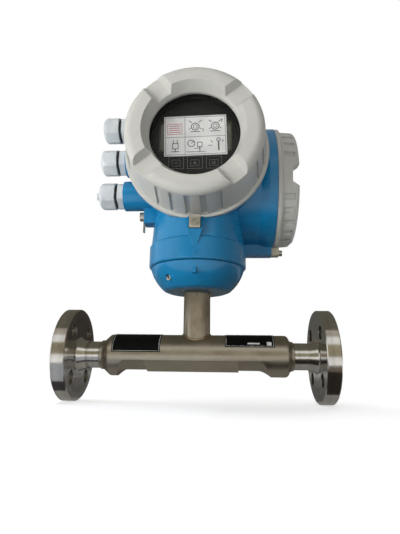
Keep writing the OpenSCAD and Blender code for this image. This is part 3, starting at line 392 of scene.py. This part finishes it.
class Pattern(Nodes):
    """A Geometry Nodes tree with named sizes, run into a plain mesh."""

    def __init__(self, name, **sizes):
        super().__init__(bpy.data.node_groups.new(name, "GeometryNodeTree"))
        self.name = name
        self.sizes = sizes
        face = self.tree.interface
        face.new_socket("Geometry", in_out="OUTPUT", socket_type="NodeSocketGeometry")
        for key, value in sizes.items():
            kind = "Int" if isinstance(value, int) else "Vector" if isinstance(value, tuple) else "Float"
            face.new_socket(key, in_out="INPUT", socket_type="NodeSocket" + kind)
        self.inputs = self.tree.nodes.new("NodeGroupInput").outputs

    def combine(self, **parts):
        return self.add("ShaderNodeCombineXYZ", None, **parts).outputs[0]

    def mesh(self, geometry, material, **changed):
        """The pattern's result with these sizes, as a mesh."""
        whole = self.add("GeometryNodeRealizeInstances", None, Geometry=geometry).outputs[0]
        painted = self.add("GeometryNodeSetMaterial", None, Geometry=whole, Material=material).outputs[0]
        self.add("NodeGroupOutput", None, Geometry=painted)
        return self.run(**changed)

    def run(self, **changed):
        """The same again with other sizes."""
        carrier = bpy.data.objects.new(self.name, bpy.data.meshes.new(self.name))
        bpy.context.collection.objects.link(carrier)
        modifier = carrier.modifiers.new(self.name, "NODES")
        modifier.node_group = self.tree
        for item in self.tree.interface.items_tree:
            if item.in_out == "INPUT":
                modifier[item.identifier] = {**self.sizes, **changed}[item.name]
        view = bpy.context.evaluated_depsgraph_get()
        result = bpy.data.meshes.new_from_object(carrier.evaluated_get(view), depsgraph=view)
        bpy.data.objects.remove(carrier)
        clean_mesh(result)
        return result


def clean_mesh(mesh):
    """Doubles merged, faces outwards."""
    work = bmesh.new()
    work.from_mesh(mesh)
    bmesh.ops.remove_doubles(work, verts=work.verts, dist=0.001 * MM)
    bmesh.ops.recalc_face_normals(work, faces=work.faces)
    work.to_mesh(mesh)
    work.free()


def join_meshes(name, meshes):
    work = bmesh.new()
    for mesh in meshes:
        work.from_mesh(mesh)
    joined = bpy.data.meshes.new(name)
    work.to_mesh(joined)
    work.free()
    return joined


def weld_beads():
    """Rippled beads: round both pipe ends of the sensor body, and round the foot of the neck on its saddle."""
    p = Pattern("weld bead", Ring=13.8 * MM, Saddle=0.0, Bead=0.9 * MM, Ripples=64, Place=(0.0, 0.0, 0.0),
                Turn=(0.0, 0.0, 0.0))
    steps, ripple = 8, 0.10
    around = p.math("MULTIPLY", "Ripples", steps)
    ring = p.add("GeometryNodeCurvePrimitiveCircle", None, Resolution=around, Radius="Ring").outputs[0]
    y = p.add("ShaderNodeSeparateXYZ", None, Vector=p.add("GeometryNodeInputPosition").outputs[0]).outputs[1]
    squares = (p.math("MULTIPLY", side, side) for side in ("Saddle", y))
    height = p.math("SQRT", p.math("MAXIMUM", p.math("SUBTRACT", *squares), 0.0))
    bent = p.add("GeometryNodeSetPosition", None, Geometry=ring, Offset=p.combine(Z=height)).outputs[0]
    phase = p.math("MULTIPLY", p.add("GeometryNodeInputIndex").outputs[0], 2 * math.pi / steps)
    swell = p.math("ADD", p.math("MULTIPLY", p.math("SINE", phase), ripple), 1.0)
    thick = p.add("GeometryNodeSetCurveRadius", None, Curve=bent, Radius=swell).outputs[0]
    profile = p.add("GeometryNodeCurvePrimitiveCircle", None, Resolution=8, Radius="Bead").outputs[0]
    bead = p.add("GeometryNodeCurveToMesh", None, Curve=thick, Profile_Curve=profile).outputs[0]
    smooth = p.add("GeometryNodeSetShadeSmooth", None, Geometry=bead).outputs[0]
    placed = p.add("GeometryNodeTransform", None, Geometry=smooth, Translation="Place", Rotation="Turn").outputs[0]
    body_low, body_high, _ = box("sensor_body")
    neck_low, neck_high, neck_mid = box("neck_tube")
    stub = 13.75 * MM
    upright = (0.0, math.pi / 2, 0.0)
    inlet = p.mesh(placed, weld, Ring=stub, Place=(body_low.x, 0.0, 0.0), Turn=upright)
    outlet = p.run(Ring=stub, Place=(body_high.x, 0.0, 0.0), Turn=upright)
    foot = p.run(Ring=(neck_high.x - neck_low.x) / 2 + 0.3 * MM, Saddle=body_high.z, Bead=1.1 * MM, Ripples=72,
                 Place=(neck_mid.x, neck_mid.y, 0.0))
    add_piece("pipe_welds", join_meshes("pipe welds", (inlet, outlet)), weld, "sensor")
    add_piece("neck_weld", foot, weld, "sensor")


def terminal_screws():
    """Slotted clamping screws, one in each terminal's screw hole."""
    pitch, height = 8 * MM, 2.0 * MM
    p = Pattern("terminal screws", Head=2.3 * MM, Height=height, Slot=0.6 * MM, Pitch=pitch, Count=4,
                Place=(0.0, 0.0, 0.0))
    head = p.add("GeometryNodeMeshCylinder", None, Vertices=24, Radius="Head", Depth="Height").outputs[0]
    slot_size = p.combine(X="Slot", Y=p.math("MULTIPLY", "Head", 3.0), Z="Height")
    slot = p.add("GeometryNodeMeshCube", None, Size=slot_size).outputs[0]
    raised = p.add("GeometryNodeTransform", None, Geometry=slot,
                   Translation=p.combine(Z=p.math("MULTIPLY", "Height", 0.6))).outputs[0]
    cut = p.add("GeometryNodeMeshBoolean", {"operation": "DIFFERENCE"}, Mesh_1=head, Mesh_2=raised).outputs[0]
    upright = p.add("GeometryNodeTransform", None, Geometry=cut, Rotation=(0, math.pi / 2, 0)).outputs[0]
    row = p.add("GeometryNodeMeshLine", None, Count="Count", Offset=p.combine(Z="Pitch")).outputs[0]
    heads = p.add("GeometryNodeInstanceOnPoints", None, Points=row, Instance=upright).outputs[0]
    placed = p.add("GeometryNodeTransform", None, Geometry=heads, Translation="Place").outputs[0]
    low, high, middle = box("terminal_blocks")
    hole, clearance = 6 * MM, 0.05 * MM
    x = high.x - hole + clearance + height / 2
    steel = finish["screw_steel"]
    lower = p.mesh(placed, steel, Count=2, Place=(x, middle.y, low.z + pitch / 2))
    upper = p.run(Count=4, Place=(x, middle.y, high.z - 3.5 * pitch))
    add_piece("terminal_screws", join_meshes("terminal screws", (lower, upper)), steel, "transmitter")


def closed_mesh(name, work):
    """Mesh of the closed bars in a workspace, faces outwards."""
    bmesh.ops.recalc_face_normals(work, faces=work.faces)
    mesh = bpy.data.meshes.new(name)
    work.to_mesh(mesh)
    work.free()
    return mesh


class Print:
    """Strokes of ink on a flat face, each a thin closed bar that stands on it."""

    def __init__(self, centre, face_y, turn=0.0):
        thickness = 0.06 * MM
        self.work = bmesh.new()
        self.centre = centre
        self.turn = Matrix.Rotation(turn, 2)
        self.y = (face_y, face_y - thickness)

    def corner(self, point, y):
        u, v = self.turn @ Vector(point)
        return Vector((self.centre.x + u * MM, y, self.centre.z + v * MM))

    def outline(self, points, width, closed=False):
        """Band of this width along points, mitred at its corners, in millimetres from the centre."""
        points = [Vector(p) for p in points]
        count = len(points)
        # Least share of the width across a corner, so that the mitre of a sharp one stays short
        least = 0.3
        sides = []
        for i, here in enumerate(points):
            before = here - points[i - 1] if closed or i else points[1] - here
            after = points[(i + 1) % count] - here if closed or i < count - 1 else before
            way = before.normalized() + after.normalized()
            normal = Vector((-way.y, way.x)).normalized()
            reach = width / 2 / max(least, normal.dot(Vector((-after.y, after.x)).normalized()))
            sides.append((here + normal * reach, here - normal * reach))
        ring = [[self.work.verts.new(self.corner(side, y)) for y in self.y for side in pair] for pair in sides]
        for i in range(count if closed else count - 1):
            a, b = ring[i], ring[(i + 1) % count]
            for j, k in ((0, 1), (1, 3), (3, 2), (2, 0)):
                self.work.faces.new((a[j], a[k], b[k], b[j]))
        if not closed:
            for end in (ring[0], ring[-1]):
                self.work.faces.new((end[0], end[1], end[3], end[2]))
        return self

    def line(self, *points, width):
        return self.outline(points, width)

    def frame(self, u, v, w, h, width):
        return self.outline([(u - w / 2, v - h / 2), (u + w / 2, v - h / 2), (u + w / 2, v + h / 2),
                             (u - w / 2, v + h / 2)], width, closed=True)

    def ring(self, u, v, r, width, sides=24):
        angles = (2 * math.pi * i / sides for i in range(sides))
        return self.outline([(u + r * math.cos(a), v + r * math.sin(a)) for a in angles], width, closed=True)

    def add(self, name, material, slot):
        add_piece(name, closed_mesh(name, self.work), material, "display_module")


def card_print():
    """Generic quick guide: six fields, with ruled lines and little drawings of lids, a dial and tools."""
    low, _, middle = box("display_card")
    tilt = math.radians(1.6)
    half_w, half_h, column, row = 30.6, 21.1, -10.6, -1.5
    grey = Print(middle, low.y, tilt)
    grey.frame(0, 0, 2 * half_w, 2 * half_h, 0.4)
    grey.line((column, -half_h), (column, half_h), width=0.4)
    grey.line((-half_w, row), (half_w, row), width=0.4)
    # Lids with rays round them, each over its edge line
    v, r = 10, 4.0
    for u in (0, 20.5):
        grey.ring(u, v, r, 0.9).ring(u, v, r * 0.5, 0.6, 16)
        grey.line((u - r - 1, v - r - 1.8), (u + r + 1, v - r - 1.8), width=0.8)
        for side in (-1, 1):
            grey.line((u + side * 6.5, v + 7), (u + side * 3.6, v + 4.6), width=0.8)
            grey.line((u + side * 6.5, v - 3.4), (u + side * 4.8, v - 1.6), width=0.7)
    # Dial, case and plug
    grey.ring(-4.2, -9.0, 3.6, 0.8).frame(4.4, -10.4, 4.6, 5.0, 0.7).frame(-20.5, -11.5, 5.6, 6.0, 0.8)
    # Head of the tool
    grey.ring(23.5, -5.8, 1.8, 0.8, 16)
    for width, *ends in (
            # Ticks beside the lids
            (0.7, (27.5, 14), (27.5, 18)), (0.7, (8, 4), (8, 8)),
            # Dial's hand, ground lines, foot of the case
            (0.8, (-4.2, -9.0), (-1.6, -6.4)), (0.5, (-9.4, -18.4), (10, -18.4)), (0.6, (-1.5, -14.6), (5.8, -14.6)),
            (0.8, (4.4, -18), (4.4, -13.4)),
            # Tool's shank, with rays beside it
            (1.4, (23.5, -18), (23.5, -8)), (0.7, (15.5, -6), (17.5, -9)), (0.7, (28.4, -6), (27, -9)),
            (0.6, (13, -12), (17, -12)),
            # Plug's base, pins and stem
            (0.8, (-24.5, -17.6), (-16.5, -17.6)), (0.7, (-22.4, -8), (-22.4, -4.6)),
            (0.7, (-18.6, -8), (-18.6, -4.6)), (0.8, (-20.5, -14.5), (-20.5, -17.6))):
        grey.line(*ends, width=width)
    grey.add("card_drawings", ink["grey"], "card")
    red = Print(middle, low.y, tilt)
    for v in (11.4, 9.0, 6.6, 4.2):
        red.line((-26.6, v), (-15.4, v), width=0.7)
    red.frame(-21, 7.8, 14.6, 11.6, 0.5)
    red.add("card_ruling", ink["red"], "card")


def key_print():
    """Outlines of the touch keys with minus, plus and ring marks, and the screen's frame line."""
    low, _, middle = box("touch_keys")
    pitch, key_w, key_h, mark = 19, 14, 12, -0.6
    keys = Print(middle, low.y)
    for i in (-1, 0, 1):
        keys.frame(i * pitch, 0, key_w + 1.2, key_h + 1.2, 0.35)
        keys.frame(i * pitch, mark, key_w - 5.6, key_h - 5.4, 0.3)
    for u in (-pitch, 0):
        keys.line((u - 1.6, mark), (u + 1.6, mark), width=0.6)
    keys.line((0, mark + 1.6), (0, mark - 1.6), width=0.6)
    keys.ring(pitch, mark, 1.4, 0.5, 16)
    keys.add("key_marks", ink["dim"], "black_plastic")
    low, high, middle = box("screen")
    margin = 1.4
    edge = Print(middle, box("display_module")[0].y)
    edge.frame(0, 0, (high.x - low.x) / MM + margin, (high.z - low.z) / MM + margin, 0.5)
    edge.add("screen_frame", ink["olive"], "black_plastic")


def plate_band(work, radius, x, angles):
    """Thin closed band on a round plate, between two places along it and two angles round it."""
    depth, height, longest = 0.05 * MM, 0.09 * MM, math.radians(4)
    steps = max(1, math.ceil(abs(angles[1] - angles[0]) / longest))
    rows = []
    for i in range(steps + 1):
        a = angles[0] + (angles[1] - angles[0]) * i / steps
        rows.append([work.verts.new((along, -r * math.cos(a), r * math.sin(a)))
                     for r in (radius - depth, radius + height) for along in x])
    for a, b in zip(rows, rows[1:]):
        for j, k in ((0, 1), (1, 3), (3, 2), (2, 0)):
            work.faces.new((a[j], a[k], b[k], b[j]))
    for end in (rows[0], rows[-1]):
        work.faces.new((end[0], end[1], end[3], end[2]))


def plate_borders():
    """Pale border on each black plate, and blank pale fields on the outlet's one."""
    inset, line = 1.0 * MM, 0.28 * MM
    # Start and end as shares of the plate's length, lower and upper edge in millimetres above the border
    fields = {"inlet_plate": (), "outlet_plate": ((0.45, 0.71, 2.2, 4.0), (0.86, 0.955, 1.0, 5.2))}
    for node in fields:
        low, high, _ = box(node)
        radius = max(math.hypot(low.y, low.z), high.z)
        left, right = low.x + inset, high.x - inset
        bottom, top = math.atan2(low.z, -low.y) + inset / radius, math.radians(88)
        work = bmesh.new()
        plate_band(work, radius, (left, right), (bottom, bottom + line / radius))
        plate_band(work, radius, (left, right), (top - line / radius, top))
        for x in (left, right - line):
            plate_band(work, radius, (x, x + line), (bottom + line / radius, top - line / radius))
        for start, end, lower, upper in fields[node]:
            plate_band(work, radius, (left + start * (right - left), left + end * (right - left)),
                       (bottom + lower * MM / radius, bottom + upper * MM / radius))
        add_piece(node + "_border", closed_mesh(node + " border", work), ink["pale"], "sensor")


weld_beads()
terminal_screws()
card_print()
key_print()
plate_borders()

# ---- Studio ----


def set_world():
    world = bpy.context.scene.world or bpy.data.worlds.new("studio")
    bpy.context.scene.world = world
    world.use_nodes = True
    world.node_tree.nodes.clear()
    sky = Nodes(world.node_tree)
    white = sky.glow("ShaderNodeBackground", 1.0)
    light = sky.glow("ShaderNodeBackground", 0.15, (0.95, 0.97, 1.0))
    sky.add("ShaderNodeOutputWorld", None, Surface=sky.mix_by_ray(white, light))


def flat_panel(name, corners, material):
    mesh = bpy.data.meshes.new(name)
    mesh.from_pydata(corners, [], [tuple(range(len(corners)))])
    mesh.materials.append(material)
    panel = bpy.data.objects.new(name, mesh)
    bpy.context.collection.objects.link(panel)
    return panel


def set_floor(height):
    """Pale floor that keeps the object's shadow near it and runs out into the white of the room."""
    reach, sides = 4, 64
    f = Finish("pale floor", Roughness=0.9)
    place = f.place((0.14, 0, height))
    f.use(f.mix(f.ramp(f.noise(place, 3), 0, 1), (0.91, 0.91, 0.91), (0.93, 0.93, 0.93)))
    lit = f.add("ShaderNodeAddShader")
    f.set(lit, 0, f.shader.outputs[0])
    f.set(lit, 1, f.glow("ShaderNodeEmission", 0.5))
    distance = f.add("ShaderNodeVectorMath", {"operation": "LENGTH"}, Vector=place).outputs["Value"]
    fade = f.ramp(distance, 0.0, 1.0, start=0.20, end=0.45)
    seen = f.mix_shaders(fade, lit.outputs[0], f.glow("ShaderNodeEmission", 1.0))
    # The floor sends little light up from near the object, so its lower sides stay dark
    dim = f.ramp(distance, 0.10, 0.85, start=0.10, end=0.36)
    material = f.show(f.mix_by_ray(seen, f.add("ShaderNodeBsdfDiffuse", None, Color=dim).outputs[0]))
    angles = (2 * math.pi * i / sides for i in range(sides))
    flat_panel("floor", [(reach * math.cos(a), reach * math.sin(a), height) for a in angles], material)


def lamp(name, place, aim, size, watts, colour=(1, 1, 1)):
    """Rectangular lamp that lights the set but isn't seen, not even mirrored."""
    light = bpy.data.lights.new(name, "AREA")
    light.shape = "RECTANGLE"
    light.size, light.size_y = size
    light.energy = watts
    light.color = colour
    holder = bpy.data.objects.new(name, light)
    bpy.context.collection.objects.link(holder)
    holder.visible_glossy = holder.visible_camera = False
    holder.location = place
    holder.rotation_euler = (Vector(aim) - Vector(place)).to_track_quat("-Z", "Y").to_euler()


def wall(name, corners, colour):
    """Panel of the room round the set, seen only in polished surfaces."""
    f = Finish(name)
    tone = f.mix(f.ramp(f.noise(f.place(), 1.2), 0, 1), shade(colour, 0.8), shade(colour, 1.15))
    panel = flat_panel(name, corners, f.show(f.glow("ShaderNodeEmission", 1.0, tone)))
    panel.visible_camera = panel.visible_shadow = panel.visible_diffuse = panel.visible_transmission = False


def rectangle(x, y, z):
    """Corners of a flat rectangle: two of x, y and z are spans, the third is where it stands."""
    spans = [side if isinstance(side, tuple) else (side, side) for side in (x, y, z)]
    first, second = (i for i, side in enumerate((x, y, z)) if isinstance(side, tuple))
    corners = []
    for a, b in ((0, 0), (1, 0), (1, 1), (0, 1)):
        corner = [span[0] for span in spans]
        corner[first], corner[second] = spans[first][a], spans[second][b]
        corners.append(tuple(corner))
    return corners


def room(mat, under):
    """Walls and ceiling, mats and strips of painted shadow at one height below the pipe, and a shade at another
    under the housing.
    """
    left, middle, right, front, back, low, high = -1.8, 0.14, 1.9, -1.7, 1.5, -0.04, 1.8
    mat_left, mat_middle, mat_right, mat_back, far_left, far_right = -0.1, 0.16, 0.40, 0.04, -0.5, 0.9
    bright, warm = (0.36, 0.34, 0.31), (0.36, 0.32, 0.22)
    for name, x, y, z, colour in (
            ("low back wall at the left", (left, middle), back, (low, 0.4), (0.12, 0.12, 0.105)),
            ("low back wall at the right", (middle, right), back, (low, 0.4), (0.05, 0.045, 0.04)),
            ("high back wall", (left, right), back, (0.4, high), bright),
            ("front wall", (left, right), front, (low, 0.9), warm),
            ("low right wall", right, (front, back), (low, 0.3), (0.20, 0.17, 0.14)),
            ("high right wall", right, (front, back), (0.3, high), (0.30, 0.25, 0.20)),
            ("left wall at the front", left, (front, -1.15), (low, 0.9), warm),
            ("left wall at the back", left, (0.9, back), (low, high), bright),
            ("ceiling at the front", (left, right), (front, 0.0), high, (0.50, 0.46, 0.40)),
            ("ceiling at the back", (left, right), (0.0, back), high, (0.30, 0.28, 0.25)),
            ("left mat at the front", (mat_left, mat_middle), (-0.144, -0.047), mat, (0.40, 0.42, 0.46)),
            # Painted shadow: a dark strip on the floor at the pipe's foot, seen only in polished surfaces as its
            # contact shadow
            ("left mat below", (mat_left, mat_middle), (-0.047, -0.029), mat, (0.05, 0.045, 0.05)),
            ("right mat at the front", (mat_middle, mat_right), (-0.144, -0.09), mat, (0.17, 0.14, 0.11)),
            # Painted shadow: a dark strip on the floor at the pipe's foot, seen only in polished surfaces as its
            # contact shadow
            ("right mat below", (mat_middle, mat_right), (-0.09, -0.029), mat, (0.03, 0.025, 0.022)),
            ("mat behind", (mat_left, mat_right), (-0.029, mat_back), mat, (0.28, 0.27, 0.26)),
            ("shade under the housing", (-0.05, 0.33), (-0.06, 0.11), under, (0.15, 0.14, 0.11))):
        wall(name, rectangle(x, y, z), colour)
    wall("mat at the back", [(mat_left, mat_back, mat), (mat_right, mat_back, mat), (far_right, back, mat),
                             (far_left, back, mat)], (0.13, 0.125, 0.12))


lowest = cad_box[0][2]
aim = (0.14, 0, 0.14)
set_world()
set_floor(lowest - 0.4 * MM)
room(lowest - 0.2 * MM, box("adapter_cone")[0].z - 2 * MM)
lamp("key", (-1.05, -0.95, 0.35), aim, (0.9, 0.6), 6.5, (1.0, 0.985, 0.965))
lamp("low", (-0.55, -0.65, 0.02), (0.14, 0, 0.2), (0.6, 0.1), 4.2)
lamp("fill", (0.5, -1.5, 0.3), aim, (0.8, 0.5), 3.5, (1.0, 0.97, 0.93))
lamp("top", (-0.1, 0.1, 1.5), aim, (1.2, 1.2), 8.5)
lamp("back left", (-0.9, 1.1, 0.6), aim, (0.9, 0.9), 8)
lamp("back right", (1.1, 1.1, 0.6), aim, (0.9, 0.9), 5)
